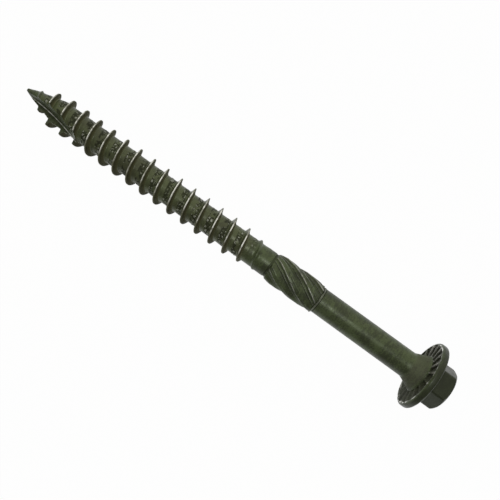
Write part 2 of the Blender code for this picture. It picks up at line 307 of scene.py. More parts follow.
# Where the columns stand: degrees in one ridge of the reamer, and shares of one pocket under the flange.
REAMER_COLUMNS = (0, 3, 5, 7, 11, 14, 16, 17, 20, 24, 28, 31, 33, 35, 38, 41, 47, 54)
RIDGE_DEGREES = 360 / REAMER_RIDGES
POCKET_COLUMNS = (0.0, POCKET_LAND_SHARE, POCKET_LAND_SHARE + 0.015, 0.33, 0.56, 0.78)
HEX_COLUMNS = 18
HEX_CORNER_CROWDING = 0.75
# Where the rows stand in the relief before the reamer and the burr after it, in metres from its ends.
REAMER_START_ROWS = (0.0, 0.0001, 0.0002, 0.0003, 0.0004, 0.00055, 0.0007, 0.0009)
REAMER_MIDDLE_START = 0.0011
REAMER_MIDDLE_END = 0.00072
REAMER_MIDDLE_ROWS = 42
REAMER_END_ROWS = (0.00062, 0.00056, 0.0005, 0.00044, 0.0004, 0.0003, 0.0002, 0.0001, 0.00006, 0.0)

around_share = np.linspace(0.0, 1.0, COLUMNS + 1)


def blank_radius(heights):
    """Radius of the blank below the flange, at any height."""
    stations = [
        (TIP, NOSE_DIAMETER / 2),
        (TIP + NOSE_LENGTH, NOSE_BASE_DIAMETER / 2),
        (TIP + POINT_LENGTH, CORE_DIAMETER / 2),
        (THREAD_TOP - CORE_STEP_LENGTH, CORE_DIAMETER / 2),
        (THREAD_TOP, SHANK_DIAMETER / 2),
        (CONE_BOTTOM, SHANK_DIAMETER / 2),
        (0.0, UNDERHEAD_CONE_DIAMETER / 2),
    ]
    return np.interp(heights, [station[0] for station in stations], [station[1] for station in stations])


def rows_in_one_pitch():
    """Heights of the rows across one turn of the thread: close together on the fin, wider in the gap."""
    crest = CREST_WIDTH / 2
    fin = FIN_WIDTH / 2
    root = ROOT_WIDTH / 2
    on_fin = [0.65 * crest, crest, crest + (fin - crest) * 0.3, crest + (fin - crest) * 0.65, fin]
    on_root = [fin + (root - fin) * share for share in (0.33, 0.67)]
    in_gap = list(np.linspace(root, THREAD_PITCH / 2, 10))
    away = on_fin + on_root + in_gap
    below = [THREAD_PITCH / 2 - distance for distance in reversed(away)]
    above = [THREAD_PITCH / 2 + distance for distance in away]
    return np.array(below + [THREAD_PITCH / 2] + above)


def sector_angles(start, sectors, shares):
    """Column angles that repeat in each of the sectors, at the given shares of a sector."""
    width = tau / sectors
    angles = [start + width * (sector + share) for sector in range(sectors) for share in shares]
    return np.array(angles + [start + tau])


def nearest_columns(angles, before):
    """The same column angles, counted from the one nearest to the first column of the rows before."""
    whole_turns = np.arange(-3, 4)[:, None] * tau
    unrolled = np.unique(np.round((angles[:-1] + whole_turns).ravel(), 9))
    first = int(np.argmin(np.abs(unrolled - before[0])))
    return unrolled[first : first + COLUMNS + 1]


def hexagon_radius(angles):
    """Radius of the hexagon with its rounded corners, in the direction of each angle."""
    from_corner = np.abs((angles - HEX_TURN + pi / 6) % (pi / 3) - pi / 6)
    centre = (HEX_ACROSS_FLATS / 2 - HEX_CORNER_RADIUS) / cos(pi / 6)
    end_of_round = atan(HEX_CORNER_RADIUS / 2 / (centre + HEX_CORNER_RADIUS * cos(pi / 6)))
    flat = HEX_ACROSS_FLATS / 2 / np.cos(pi / 6 - from_corner)
    inside = np.minimum(from_corner, end_of_round)
    corner = centre * np.cos(inside) + np.sqrt(HEX_CORNER_RADIUS**2 - (centre * np.sin(inside)) ** 2)
    return np.where(from_corner < end_of_round, corner, flat)


def end_round_height(radii):
    """Height of the rounded border of the hexagon's end, at each radius."""
    share = np.clip((radii - HEX_END_FACE_DIAMETER / 2) / HEX_END_ROUND, 0.0, 1.0)
    return HEAD_HEIGHT - HEX_END_ROUND * (1 - np.sqrt(1 - share**2))


blank_rows = []


def add_row(heights, radii, angles):
    """Adds one row of points. Each of the three is one number, or one for each column."""
    blank_rows.append([np.broadcast_to(values, (COLUMNS + 1,)) for values in (heights, radii, angles)])


def add_point_and_thread_rows(angles):
    """Rounds from the nose up, then rows that climb with the helix, and a wedge of rows at its ends."""
    offsets = rows_in_one_pitch()
    add_row(TIP, 0.0, angles)
    for share in (0.5, 0.85):
        add_row(TIP, share * NOSE_DIAMETER / 2, angles)
    for height in np.linspace(TIP + 2 * STEP_WIDTH, HELIX_BOTTOM, 12)[:-1]:
        add_row(height, blank_radius(height), angles)
    climb = THREAD_PITCH * around_share
    for offset in offsets[:-1]:
        heights = HELIX_BOTTOM + offset * around_share
        add_row(heights, blank_radius(heights), angles)
    for turn in range(HELIX_TURNS):
        for offset in offsets[:-1]:
            heights = HELIX_BOTTOM + turn * THREAD_PITCH + offset + climb
            add_row(heights, blank_radius(heights), angles)
    for offset in offsets:
        heights = HELIX_BOTTOM + HELIX_TURNS * THREAD_PITCH + climb + offset * (1 - around_share)
        add_row(heights, blank_radius(heights), angles)


def add_reamer_rows(before):
    """Rows up the neck and the reamer, whose columns gather at the valleys and turn with them."""
    shares = [degrees / RIDGE_DEGREES for degrees in REAMER_COLUMNS]
    angles = nearest_columns(sector_angles(REAMER_TURN, REAMER_RIDGES, shares), before)
    for share in (0.25, 0.5, 0.75, 1.0):
        height = HELIX_TOP + (REAMER_BOTTOM - STEP_WIDTH - HELIX_TOP) * share
        add_row(height, blank_radius(height), before + (angles - before) * share)
    start = [REAMER_BOTTOM + rise for rise in REAMER_START_ROWS]
    first = REAMER_BOTTOM + REAMER_MIDDLE_START
    last = REAMER_TOP - REAMER_MIDDLE_END
    middle = list(np.linspace(first, last, REAMER_MIDDLE_ROWS))
    end = [REAMER_TOP - drop for drop in REAMER_END_ROWS]
    for height in start + middle + end:
        add_row(height, blank_radius(height), angles + (height - REAMER_BOTTOM) / REAMER_LEAD * tau)
    return angles + REAMER_LENGTH / REAMER_LEAD * tau


def add_shank_rows(before, angles):
    """Rows up the plain shank and the cone, from the columns of the reamer to those of the pockets."""
    add_row(REAMER_TOP + 3 * STEP_WIDTH, SHANK_DIAMETER / 2, before)
    for share in np.linspace(0.0, 1.0, 24)[1:]:
        height = REAMER_TOP + (CONE_BOTTOM - REAMER_TOP) * share
        add_row(height, SHANK_DIAMETER / 2, before + (angles - before) * share)
    for height in np.linspace(CONE_BOTTOM, 0.0, 7)[1:]:
        add_row(height, blank_radius(height), angles)


def add_flange_rows(angles, hexagon_angles):
    """Rows out along the bearing face, round the rim and in along the dome to the foot of the hexagon."""
    inner = POCKET_INNER_DIAMETER / 2
    outer = POCKET_OUTER_DIAMETER / 2
    for radius in [inner] + list(np.linspace(inner + STEP_WIDTH, outer - STEP_WIDTH, 8)) + [outer]:
        add_row(0.0, radius, angles)
    middle = FLANGE_DIAMETER / 2 - FLANGE_RIM_ROUND
    for slope in np.linspace(-pi / 2, 0.0, 8):
        add_row(FLANGE_RIM_ROUND * (1 + sin(slope)), middle + FLANGE_RIM_ROUND * cos(slope), angles)
    top = FLANGE_RIM_THICKNESS - FLANGE_RIM_ROUND
    for slope in np.linspace(0.0, pi / 2, 8):
        add_row(top + FLANGE_RIM_ROUND * sin(slope), middle + FLANGE_RIM_ROUND * cos(slope), angles)
    dome = FLANGE_DOME_DIAMETER / 2
    for share in np.linspace(0.0, 1.0, 10)[1:]:
        height = FLANGE_RIM_THICKNESS + FLANGE_DOME_RISE * sin(share * pi / 2)
        between = angles + (hexagon_angles - angles) * share
        add_row(height, middle + (dome - middle) * share, between)


def add_hexagon_rows(angles):
    """Rows up the faces of the hexagon from a small fillet, over its rounded border and in to the middle."""
    outline = hexagon_radius(angles)
    dome = FLANGE_RIM_THICKNESS + FLANGE_DOME_RISE
    for slope in np.linspace(0.0, pi / 2, 4):
        rise = HEX_ROOT_FILLET * (1 - cos(slope))
        add_row(dome + rise, outline + HEX_ROOT_FILLET * (1 - sin(slope)), angles)
    foot = dome + HEX_ROOT_FILLET
    border = end_round_height(outline)
    for share in (0.25, 0.5, 0.75):
        add_row(foot + (border - foot) * share, outline, angles)
    face = HEX_END_FACE_DIAMETER / 2
    for share in np.linspace(0.0, 1.0, 12):
        radii = outline + (face - outline) * share
        add_row(end_round_height(radii), radii, angles)
    for share in (0.97, 0.6, 0.0):
        add_row(HEAD_HEIGHT, face * share, angles)


def mesh_from_rows(name):
    """Joins the rows with quads, and merges the seam, the poles and the ends of the wedges."""
    rows = np.array(blank_rows)
    heights, radii, angles = rows[:, 0], rows[:, 1], rows[:, 2]
    points = np.stack([radii * np.cos(angles), radii * np.sin(angles), heights], axis=-1).reshape(-1, 3)
    width = COLUMNS + 1
    corner = (np.arange(len(rows) - 1)[:, None] * width + np.arange(COLUMNS)).ravel()
    faces = np.stack([corner, corner + 1, corner + width + 1, corner + width], axis=-1)
    mesh = bpy.data.meshes.new(name)
    mesh.from_pydata(points.tolist(), [], faces.tolist())
    body = bmesh.new()
    body.from_mesh(mesh)
    bmesh.ops.remove_doubles(body, verts=body.verts, dist=MERGE_DISTANCE)
    body.to_mesh(mesh)
    body.free()
    return mesh


helix_phase = (HELIX_BOTTOM - THREAD_BOTTOM) / THREAD_PITCH + 0.5
thread_angles = THREAD_START_ANGLE + tau * helix_phase + tau * around_share
add_point_and_thread_rows(thread_angles)
reamer_angles = add_reamer_rows(thread_angles)
pocket_angles = nearest_columns(sector_angles(POCKET_TURN, POCKETS, POCKET_COLUMNS), reamer_angles)
add_shank_rows(reamer_angles, pocket_angles)
even_shares = np.arange(HEX_COLUMNS) / HEX_COLUMNS - 0.5
corner_shares = even_shares - HEX_CORNER_CROWDING * np.sin(tau * even_shares) / tau
hexagon_angles = nearest_columns(sector_angles(HEX_TURN, 6, corner_shares), pocket_angles)
add_flange_rows(pocket_angles, hexagon_angles)
add_hexagon_rows(hexagon_angles)
screw = bpy.data.objects.new("timber_screw_finished", mesh_from_rows("timber_screw_finished"))
bpy.context.scene.collection.objects.link(screw)

# The rolled thread
# One thin right-hand fin, squeezed up out of the core between two dies, whose worn faces leave short raised
# strokes in the gaps. The tree lifts the blank along the helix, and marks where the coat rubs off, with a
# painted highlight on the lit side, and where painted shade darkens it.
THREAD_DIAMETER = 0.0070
ROOT_FILLET = 0.00022
LEAD_IN = 0.0050
RUN_OUT = 0.0062
CREST_START_DIAMETER = 0.0022
CREST_END_DIAMETER = 0.00515
RUBBED_START = -0.00019
RUBBED_FULL = 0.6 * RUBBED_START
RUBBED_FADES = -0.3 * RUBBED_START
RUBBED_END = -0.6 * RUBBED_START
LIT_SIDE = radians(164.0)
LIT_SIDE_FADES = 0.6
LIT_SIDE_FULL = 0.9
LEAST_LIT = 0.12
GROWN_START = 0.0003
GROWN_FULL = 0.0008
LEAST_FIN = 0.00005
GAP_TAN = 0.3
FLANK_SHADE = 0.15
CREST_SHADE = 0.75

# Heights over widths, both as shares. The first is half of the fin's section, the second the dies' strokes.
fin_shoulder = 2 * ROOT_FILLET / (THREAD_DIAMETER - CORE_DIAMETER)
FIN_PROFILE = (
    (0.0, 1.0),
    (CREST_WIDTH / ROOT_WIDTH, 1.0),
    (FIN_WIDTH / ROOT_WIDTH, fin_shoulder),
    ((FIN_WIDTH + ROOT_WIDTH) / 2 / ROOT_WIDTH, fin_shoulder * 0.3),
    (1.0, 0.0),
)
GAP_PROFILE = ((0.0, 1.0), (0.29, 1.0), (0.33, 0.0), (0.93, 0.0), (0.97, 1.0), (1.0, 1.0))

CURVE = "ShaderNodeFloatCurve"
PLACE = "GeometryNodeInputPosition"
STORE = "GeometryNodeStoreNamedAttribute"
DIVIDED = {"operation": "DIVIDE"}
SMALLER = {"operation": "MINIMUM"}
UNSIGNED = {"operation": "ABSOLUTE"}
PART_OF_ONE = {"operation": "FRACT"}
IS_ABOVE = {"operation": "GREATER_THAN"}
IS_BELOW = {"operation": "LESS_THAN"}
IS_NEAR = {"operation": "COMPARE"}
SCALED = {"operation": "SCALE"}
SMOOTH = {"interpolation_type": "SMOOTHSTEP"}
UNCLAMPED = {"clamp": False}
NUMBERS = {"data_type": "FLOAT"}
VECTORS = {"data_type": "FLOAT_VECTOR"}


def new_shaping_tree(name, sizes):
    """A tree that takes a mesh and the named sizes, and gives a mesh."""
    tree = bpy.data.node_groups.new(name, "GeometryNodeTree")
    tree.interface.new_socket("Geometry", in_out="INPUT", socket_type="NodeSocketGeometry")
    tree.interface.new_socket("Geometry", in_out="OUTPUT", socket_type="NodeSocketGeometry")
    for size in sizes:
        tree.interface.new_socket(size, in_out="INPUT", socket_type="NodeSocketFloat")
    return tree, add_node(tree, "NodeGroupInput").outputs


def place_on_screw(tree):
    """The height of a point, its angle, its distance from the axis and its outward direction."""
    position = add_node(tree, PLACE)
    parts = add_node(tree, "ShaderNodeSeparateXYZ", {}, {"Vector": position}).outputs
    angle = add_node(tree, MATH, {"operation": "ARCTAN2"}, {0: parts["Y"], 1: parts["X"]})
    level = add_node(tree, VECTOR_MATH, TIMES, {0: position, 1: (1.0, 1.0, 0.0)})
    radius = add_node(tree, VECTOR_MATH, {"operation": "LENGTH"}, {0: level})
    outward = add_node(tree, VECTOR_MATH, {"operation": "NORMALIZE"}, {0: level})
    return parts["Z"], angle, radius, outward


def draw_profile(curve_map, points):
    """Lays straight runs between the points of a curve."""
    curve = curve_map.curves[0]
    for x, y in points[2:]:
        curve.points.new(x, y)
    for place, (x, y) in zip(curve.points, points):
        place.location = (x, y)
        place.handle_type = "VECTOR"
    curve_map.update()


def lit_side_share(tree, angle, lit_side, fades, full):
    """Full on the side that faces the light, little on the other; the ends of the fade are cosines."""
    from_side = add_node(tree, MATH, MINUS, {0: angle, 1: lit_side})
    towards_side = add_node(tree, MATH, {"operation": "COSINE"}, {0: from_side})
    fade = {"Value": towards_side, "From Min": fades, "From Max": full, "To Min": LEAST_LIT}
    return add_node(tree, RANGE, SMOOTH, fade)


def end_tree(tree, geometry, offset):
    """Moves the points, and gives the mesh its coating."""
    moved = add_node(tree, "GeometryNodeSetPosition", {}, {"Geometry": geometry, "Offset": offset})
    real = add_node(tree, "GeometryNodeRealizeInstances", {}, {"Geometry": moved})
    coated = add_node(tree, "GeometryNodeSetMaterial", {}, {"Geometry": real, "Material": coating})
    add_node(tree, "NodeGroupOutput", {}, {"Geometry": coated})


def shape_with(item, tree, sizes):
    """Runs the tree on the object and keeps the result as its plain mesh."""
    modifier = item.modifiers.new(tree.name, "NODES")
    modifier.node_group = tree
    for socket in tree.interface.items_tree:
        if socket.in_out == "INPUT" and socket.name in sizes:
            modifier[socket.identifier] = sizes[socket.name]
    graph = bpy.context.evaluated_depsgraph_get()
    mesh = bpy.data.meshes.new_from_object(item.evaluated_get(graph))
    item.modifiers.clear()
    item.data = mesh


def build_thread_tree(sizes):
    """Lifts the fin and the strokes of the dies, and stores where each look lies."""
    tree, size = new_shaping_tree("rolled_thread", sizes)
    height, angle, radius, outward = place_on_screw(tree)

    # How far a point is from the crest along the axis, and the fin's height there as a share of the full one.
    above_bottom = add_node(tree, MATH, MINUS, {0: height, 1: size["Bottom"]})
    climbed = add_node(tree, MATH, DIVIDED, {0: above_bottom, 1: size["Pitch"]})
    past_start = add_node(tree, MATH, MINUS, {0: angle, 1: size["Start Angle"]})
    turns = add_node(tree, MATH, DIVIDED, {0: past_start, 1: tau})
    unwound = add_node(tree, MATH, MINUS, {0: climbed, 1: turns})
    shifted = add_node(tree, MATH, PLUS, {0: unwound, 1: 0.5})
    in_turn = add_node(tree, MATH, PART_OF_ONE, {0: shifted})
    past_crest = add_node(tree, MATH, MINUS, {0: in_turn, 1: 0.5})
    from_crest = add_node(tree, MATH, TIMES, {0: past_crest, 1: size["Pitch"]})
    away = add_node(tree, MATH, UNSIGNED, {0: from_crest})
    half_root = add_node(tree, MATH, DIVIDED, {0: size["Root Width"], 1: 2.0})
    root_share = add_node(tree, MATH, DIVIDED, {0: away, 1: half_root})
    across = add_node(tree, MATH, SMALLER, {0: root_share, 1: 1.0})
    section = add_node(tree, CURVE, {}, {"Value": across})
    draw_profile(section.mapping, FIN_PROFILE)

    # The crest rises over the lead-in at the point and sinks over the run-out at the neck.
    lead_end = add_node(tree, MATH, PLUS, {0: size["Bottom"], 1: size["Lead In"]})
    lead_heights = {"Value": height, "From Min": size["Bottom"], "From Max": lead_end}
    lead_radii = {"To Min": size["Start Radius"], "To Max": size["Radius"]}
    lead = add_node(tree, RANGE, UNCLAMPED, lead_heights | lead_radii)
    run_start = add_node(tree, MATH, MINUS, {0: size["Top"], 1: size["Run Out"]})
    run_heights = {"Value": height, "From Min": run_start, "From Max": size["Top"]}
    run_radii = {"To Min": size["Radius"], "To Max": size["End Radius"]}
    run = add_node(tree, RANGE, UNCLAMPED, run_heights | run_radii)
    lower = add_node(tree, MATH, SMALLER, {0: lead, 1: run})
    crest = add_node(tree, MATH, SMALLER, {0: lower, 1: size["Radius"]})
    above_core = add_node(tree, MATH, MINUS, {0: crest, 1: radius})
    full = add_node(tree, MATH, LARGER, {0: above_core, 1: 0.0})
    fin = add_node(tree, MATH, TIMES, {0: full, 1: section})

    # The strokes of the dies stand in the gaps, where the thread is grown.
    in_gap = add_node(tree, CURVE, {}, {"Value": in_turn})
    draw_profile(in_gap.mapping, GAP_PROFILE)
    grown = add_node(tree, RANGE, SMOOTH, {"Value": full, "From Min": GROWN_START, "From Max": GROWN_FULL})
    marked = add_node(tree, MATH, TIMES, {0: in_gap, 1: grown})
    position = add_node(tree, PLACE)
    on_block = die_strokes(tree, position)[0]
    stroke = add_node(tree, MATH, TIMES, {0: on_block, 1: marked})
    lift = add_node(tree, MATH, TIMES_PLUS, {0: stroke, 1: size["Stroke Height"], 2: fin})
    offset = add_node(tree, VECTOR_MATH, SCALED, {0: outward, "Scale": lift})

    # The rubbed line lies on the crest's tip side. It is wear, and a painted highlight on the side of the
    # screw that faces the light.
    tip_side = {"Value": from_crest, "From Min": RUBBED_START, "From Max": RUBBED_FULL}
    line_start = add_node(tree, RANGE, SMOOTH, tip_side)
    head_side = {"Value": from_crest, "From Min": RUBBED_FADES, "From Max": RUBBED_END}
    line_end = add_node(tree, RANGE, SMOOTH, head_side)
    not_ended = add_node(tree, MATH, MINUS, {0: 1.0, 1: line_end})
    on_line = add_node(tree, MATH, TIMES, {0: line_start, 1: not_ended})
    along_crest = add_node(tree, MATH, TIMES, {0: on_line, 1: grown})
    lit_side = lit_side_share(tree, angle, size["Lit Side"], LIT_SIDE_FADES, LIT_SIDE_FULL)
    rubbed_and_highlit = add_node(tree, MATH, TIMES, {0: along_crest, 1: lit_side})

    # The flank behind the crest is tan. It is darkened with painted shade, most near the crest, as it faces
    # away from the light.
    is_fin = add_node(tree, MATH, IS_ABOVE, {0: fin, 1: LEAST_FIN})
    on_fin = add_node(tree, MATH, TIMES, {0: is_fin, 1: grown})
    head_half = add_node(tree, MATH, IS_ABOVE, {0: from_crest, 1: -CREST_WIDTH / 2})
    behind = add_node(tree, MATH, TIMES, {0: head_half, 1: on_fin})
    gap_tan = add_node(tree, MATH, TIMES, {0: grown, 1: GAP_TAN})
    flank = add_node(tree, MATH, LARGER, {0: behind, 1: gap_tan})
    past_edge = {"Value": from_crest, "From Min": 0.5 * CREST_WIDTH, "From Max": CREST_WIDTH}
    on_flank = add_node(tree, RANGE, SMOOTH, past_edge)
    on_dark_side = add_node(tree, MATH, TIMES, {0: on_flank, 1: on_fin})
    near_crest = add_node(tree, MATH, TIMES_PLUS, {0: section, 1: CREST_SHADE, 2: FLANK_SHADE})
    painted_shade = add_node(tree, MATH, TIMES, {0: on_dark_side, 1: near_crest})

    kept_place = {"Geometry": size["Geometry"], "Name": "upright", "Value": position}
    geometry = add_node(tree, STORE, VECTORS, kept_place)
    for name, value in (("rubbed_and_highlit", rubbed_and_highlit), ("flank", flank), ("painted_shade", painted_shade), ("marked", marked)):
        geometry = add_node(tree, STORE, NUMBERS, {"Geometry": geometry, "Name": name, "Value": value})
    end_tree(tree, geometry, offset)
    return tree


thread_sizes = {
    "Bottom": THREAD_BOTTOM,
    "Top": THREAD_TOP,
    "Pitch": THREAD_PITCH,
    "Start Angle": THREAD_START_ANGLE,
    "Root Width": ROOT_WIDTH,
    "Radius": THREAD_DIAMETER / 2,
    "Start Radius": CREST_START_DIAMETER / 2,
    "End Radius": CREST_END_DIAMETER / 2,
    "Lead In": LEAD_IN,
    "Run Out": RUN_OUT,
    "Stroke Height": DIE_STROKE_HEIGHT,
    "Lit Side": LIT_SIDE,
}
shape_with(screw, build_thread_tree(thread_sizes), thread_sizes)

# The reamer
# Six broad saw-tooth ridges, rolled on the same hand as the thread, which widen the hole for the shank. Each
# ends in a sharp lip over a narrow valley. A turned relief lies before them, and a ring of burr after them.
REAMER_DIAMETER = 0.0059
REAMER_GROOVE_DIAMETER = 0.0049
REAMER_LIP_HEIGHT = 0.00003
REAMER_START_SHARE = 0.45
REAMER_START_LENGTH = 0.0020
REAMER_END_SHARE = 0.6
REAMER_END_LENGTH = 0.0016
RELIEF_DIAMETER = 0.00488
RELIEF_END = 0.00028
RIDGES_START = 0.0006
RIDGES_END = 0.00053
RING_START = 0.00042
RING_END = 0.00008
BURR_RING_HEIGHT = 0.00015
BURR_SPIKE_HEIGHT = 0.00034
BURR_SPIKE_SPACING = 0.0011
BURR_SPIKE_START = 0.56
BURR_SPIKE_FULL = 0.72
RELIEF_SHADE = 0.6
RING_WEAR = 0.12
SEAM_NUDGE = 1e-4
READ = "GeometryNodeInputNamedAttribute"

# Each pair is an angle within one ridge in degrees, and the height, wear or painted shade there as a share.
ridge_depth = REAMER_DIAMETER - REAMER_GROOVE_DIAMETER
land_share = ridge_depth / (ridge_depth + 2 * REAMER_LIP_HEIGHT)
REAMER_SECTION = (
    (0, land_share), (3, land_share), (5, 0.87), (7, land_share), (14, 0.97), (16, 1.0), (17, 0.98),
    (20, 0.66), (24, 0.36), (28, 0.25), (31, 0.30), (33, 0.37), (35, 0.10), (38, 0.0), (41, 0.02),
    (47, 0.27), (54, 0.76), (60, land_share),
)
REAMER_RUBBED = (
    (0, 0.0), (14, 0.0), (16, 0.25), (17, 0.5), (19, 0.0), (31, 0.0), (33, 0.18), (35, 0.0), (60, 0.0),
)
REAMER_SHADE = (
    (0, 0.0), (3, 0.0), (5, 0.4), (7, 0.0), (17, 0.0), (20, 0.5), (28, 0.18), (32, 0.0), (35, 0.6),
    (41, 0.15), (47, 0.0), (60, 0.0),
)


def add_to_looks(tree, geometry, painted_shade, rubbed_and_highlit):
    """Stores painted shade, and wear with painted highlight, where more than the mesh has already."""
    for name, value in (("painted_shade", painted_shade), ("rubbed_and_highlit", rubbed_and_highlit)):
        before = add_node(tree, READ, NUMBERS, {"Name": name})
        both = add_node(tree, MATH, LARGER, {0: value, 1: before})
        geometry = add_node(tree, STORE, NUMBERS, {"Geometry": geometry, "Name": name, "Value": both})
    return geometry


def build_reamer_tree(sizes):
    """Lifts the ridges and the ring of burr, and adds their painted shade and wear."""
    tree, size = new_shaping_tree("milling_ridges", sizes)
    height, angle, radius, outward = place_on_screw(tree)

    # Where a point is across its ridge, and what that ridge has there.
    above_start = add_node(tree, MATH, MINUS, {0: height, 1: size["Bottom"]})
    below_end = add_node(tree, MATH, MINUS, {0: size["Top"], 1: height})
    climbed = add_node(tree, MATH, DIVIDED, {0: above_start, 1: size["Lead"]})
    past_turn = add_node(tree, MATH, MINUS, {0: angle, 1: size["Turn"]})
    turns = add_node(tree, MATH, DIVIDED, {0: past_turn, 1: tau})
    unwound = add_node(tree, MATH, MINUS, {0: turns, 1: climbed})
    ridges = add_node(tree, MATH, TIMES, {0: unwound, 1: size["Ridges"]})
    nudged = add_node(tree, MATH, PLUS, {0: ridges, 1: SEAM_NUDGE})
    share = add_node(tree, MATH, PART_OF_ONE, {0: nudged})
    drawn = []
    for profile in (REAMER_SECTION, REAMER_RUBBED, REAMER_SHADE):
        drawn.append(add_node(tree, CURVE, {}, {"Value": share}))
        draw_profile(drawn[-1].mapping, [(degrees / RIDGE_DEGREES, level) for degrees, level in profile])
    section, edge, valley = drawn

    past_bottom = add_node(tree, MATH, IS_ABOVE, {0: above_start, 1: -STEP_WIDTH / 2})
    before_top = add_node(tree, MATH, IS_ABOVE, {0: below_end, 1: -STEP_WIDTH / 2})
    inside = add_node(tree, MATH, TIMES, {0: past_bottom, 1: before_top})
    starts = {"Value": above_start, "From Min": RELIEF_END, "From Max": RIDGES_START}
    started = add_node(tree, RANGE, SMOOTH, starts)
    not_ended = add_node(tree, MATH, IS_ABOVE, {0: below_end, 1: RIDGES_END})
    on_ridges = add_node(tree, MATH, TIMES, {0: started, 1: not_ended})
    below_ring_end = add_node(tree, MATH, IS_ABOVE, {0: below_end, 1: RING_END})
    above_ring_start = add_node(tree, MATH, IS_BELOW, {0: below_end, 1: RING_START})
    in_ring = add_node(tree, MATH, TIMES, {0: below_ring_end, 1: above_ring_start})

    # The ridges rise from their grooves and are lower towards both ends.
    rise = {"Value": above_start, "From Max": REAMER_START_LENGTH, "To Min": REAMER_START_SHARE}
    rising = add_node(tree, RANGE, {}, rise)
    fall = {"Value": below_end, "From Max": REAMER_END_LENGTH, "To Min": REAMER_END_SHARE}
    falling = add_node(tree, RANGE, {}, fall)
    tapered = add_node(tree, MATH, TIMES, {0: rising, 1: falling})
    level = add_node(tree, MATH, TIMES, {0: section, 1: tapered})
    deep = add_node(tree, MATH, MINUS, {0: size["Radius"], 1: size["Groove Radius"]})
    ridge_radius = add_node(tree, MATH, TIMES_PLUS, {0: level, 1: deep, 2: size["Groove Radius"]})
    proud = add_node(tree, MATH, MINUS, {0: ridge_radius, 1: size["Relief Radius"]})
    above_relief = add_node(tree, MATH, TIMES, {0: proud, 1: on_ridges})

    # The ring of burr has a few spikes.
    noise = {"Vector": add_node(tree, PLACE), "Scale": 1 / BURR_SPIKE_SPACING, "Detail": 1.0}
    uneven = add_node(tree, NOISE, {}, noise)
    peaks = {"Value": uneven, "From Min": BURR_SPIKE_START, "From Max": BURR_SPIKE_FULL}
    peak = add_node(tree, RANGE, SMOOTH, peaks)
    spike = add_node(tree, MATH, TIMES, {0: peak, 1: size["Spike Height"]})
    spiked = add_node(tree, MATH, PLUS, {0: spike, 1: size["Ring Height"]})
    ring = add_node(tree, MATH, TIMES, {0: spiked, 1: in_ring})
    raised = add_node(tree, MATH, PLUS, {0: above_relief, 1: ring})
    wanted = add_node(tree, MATH, PLUS, {0: raised, 1: size["Relief Radius"]})
    change = add_node(tree, MATH, MINUS, {0: wanted, 1: radius})
    lift = add_node(tree, MATH, TIMES, {0: change, 1: inside})
    offset = add_node(tree, VECTOR_MATH, SCALED, {0: outward, "Scale": lift})

    # The valleys and the turned relief are darkened with painted shade.
    on_either = add_node(tree, MATH, PLUS, {0: on_ridges, 1: in_ring})
    in_relief = add_node(tree, MATH, MINUS, {0: 1.0, 1: on_either})
    relief_shade = add_node(tree, MATH, TIMES, {0: in_relief, 1: RELIEF_SHADE})
    all_shade = add_node(tree, MATH, TIMES_PLUS, {0: valley, 1: on_ridges, 2: relief_shade})
    painted_shade = add_node(tree, MATH, TIMES, {0: all_shade, 1: inside})
    ring_wear = add_node(tree, MATH, TIMES, {0: in_ring, 1: RING_WEAR})
    all_wear = add_node(tree, MATH, TIMES_PLUS, {0: edge, 1: on_ridges, 2: ring_wear})
    rubbed_and_highlit = add_node(tree, MATH, TIMES, {0: all_wear, 1: inside})
    end_tree(tree, add_to_looks(tree, size["Geometry"], painted_shade, rubbed_and_highlit), offset)
    return tree


reamer_sizes = {
    "Bottom": REAMER_BOTTOM,
    "Top": REAMER_TOP,
    "Lead": REAMER_LEAD,
    "Turn": REAMER_TURN,
    "Ridges": REAMER_RIDGES,
    "Radius": REAMER_DIAMETER / 2 + REAMER_LIP_HEIGHT,
    "Groove Radius": REAMER_GROOVE_DIAMETER / 2,
    "Relief Radius": RELIEF_DIAMETER / 2,
    "Ring Height": BURR_RING_HEIGHT,
    "Spike Height": BURR_SPIKE_HEIGHT,
}
shape_with(screw, build_reamer_tree(reamer_sizes), reamer_sizes)

# The ridges under the flange
# Saw-tooth pockets pressed into the bearing face by the forging die. Each drops at a steep radial face just
# past its ridge and ramps out again, so that the head turns in easily and resists turning back.
POCKET_DEPTH = 0.00035
FACE_LIT_SIDE = radians(105.0)
FACE_LIT_FADES = 0.25
FACE_LIT_FULL = 0.8
LAND_HIGHLIGHT = 0.42
UNLIT_SHADE = 0.55
POCKET_SHADE_LOSS = 0.4
POCKET_SHADE_SPREAD = 0.7
GLINT_REACH = 0.00024
GLINT_HEIGHT = 0.00006
GLINT_SPACING = 0.0009
GLINT_START = 0.49
GLINT_FULL = 0.58
FLAT_WITHIN = 1e-6
POCKET_PROFILE = ((0.0, 0.0), (POCKET_LAND_SHARE + 0.001, 0.0), (POCKET_LAND_SHARE + 0.014, 1.0), (1.0, 0.0))
LAND_END = POCKET_LAND_SHARE + 0.01


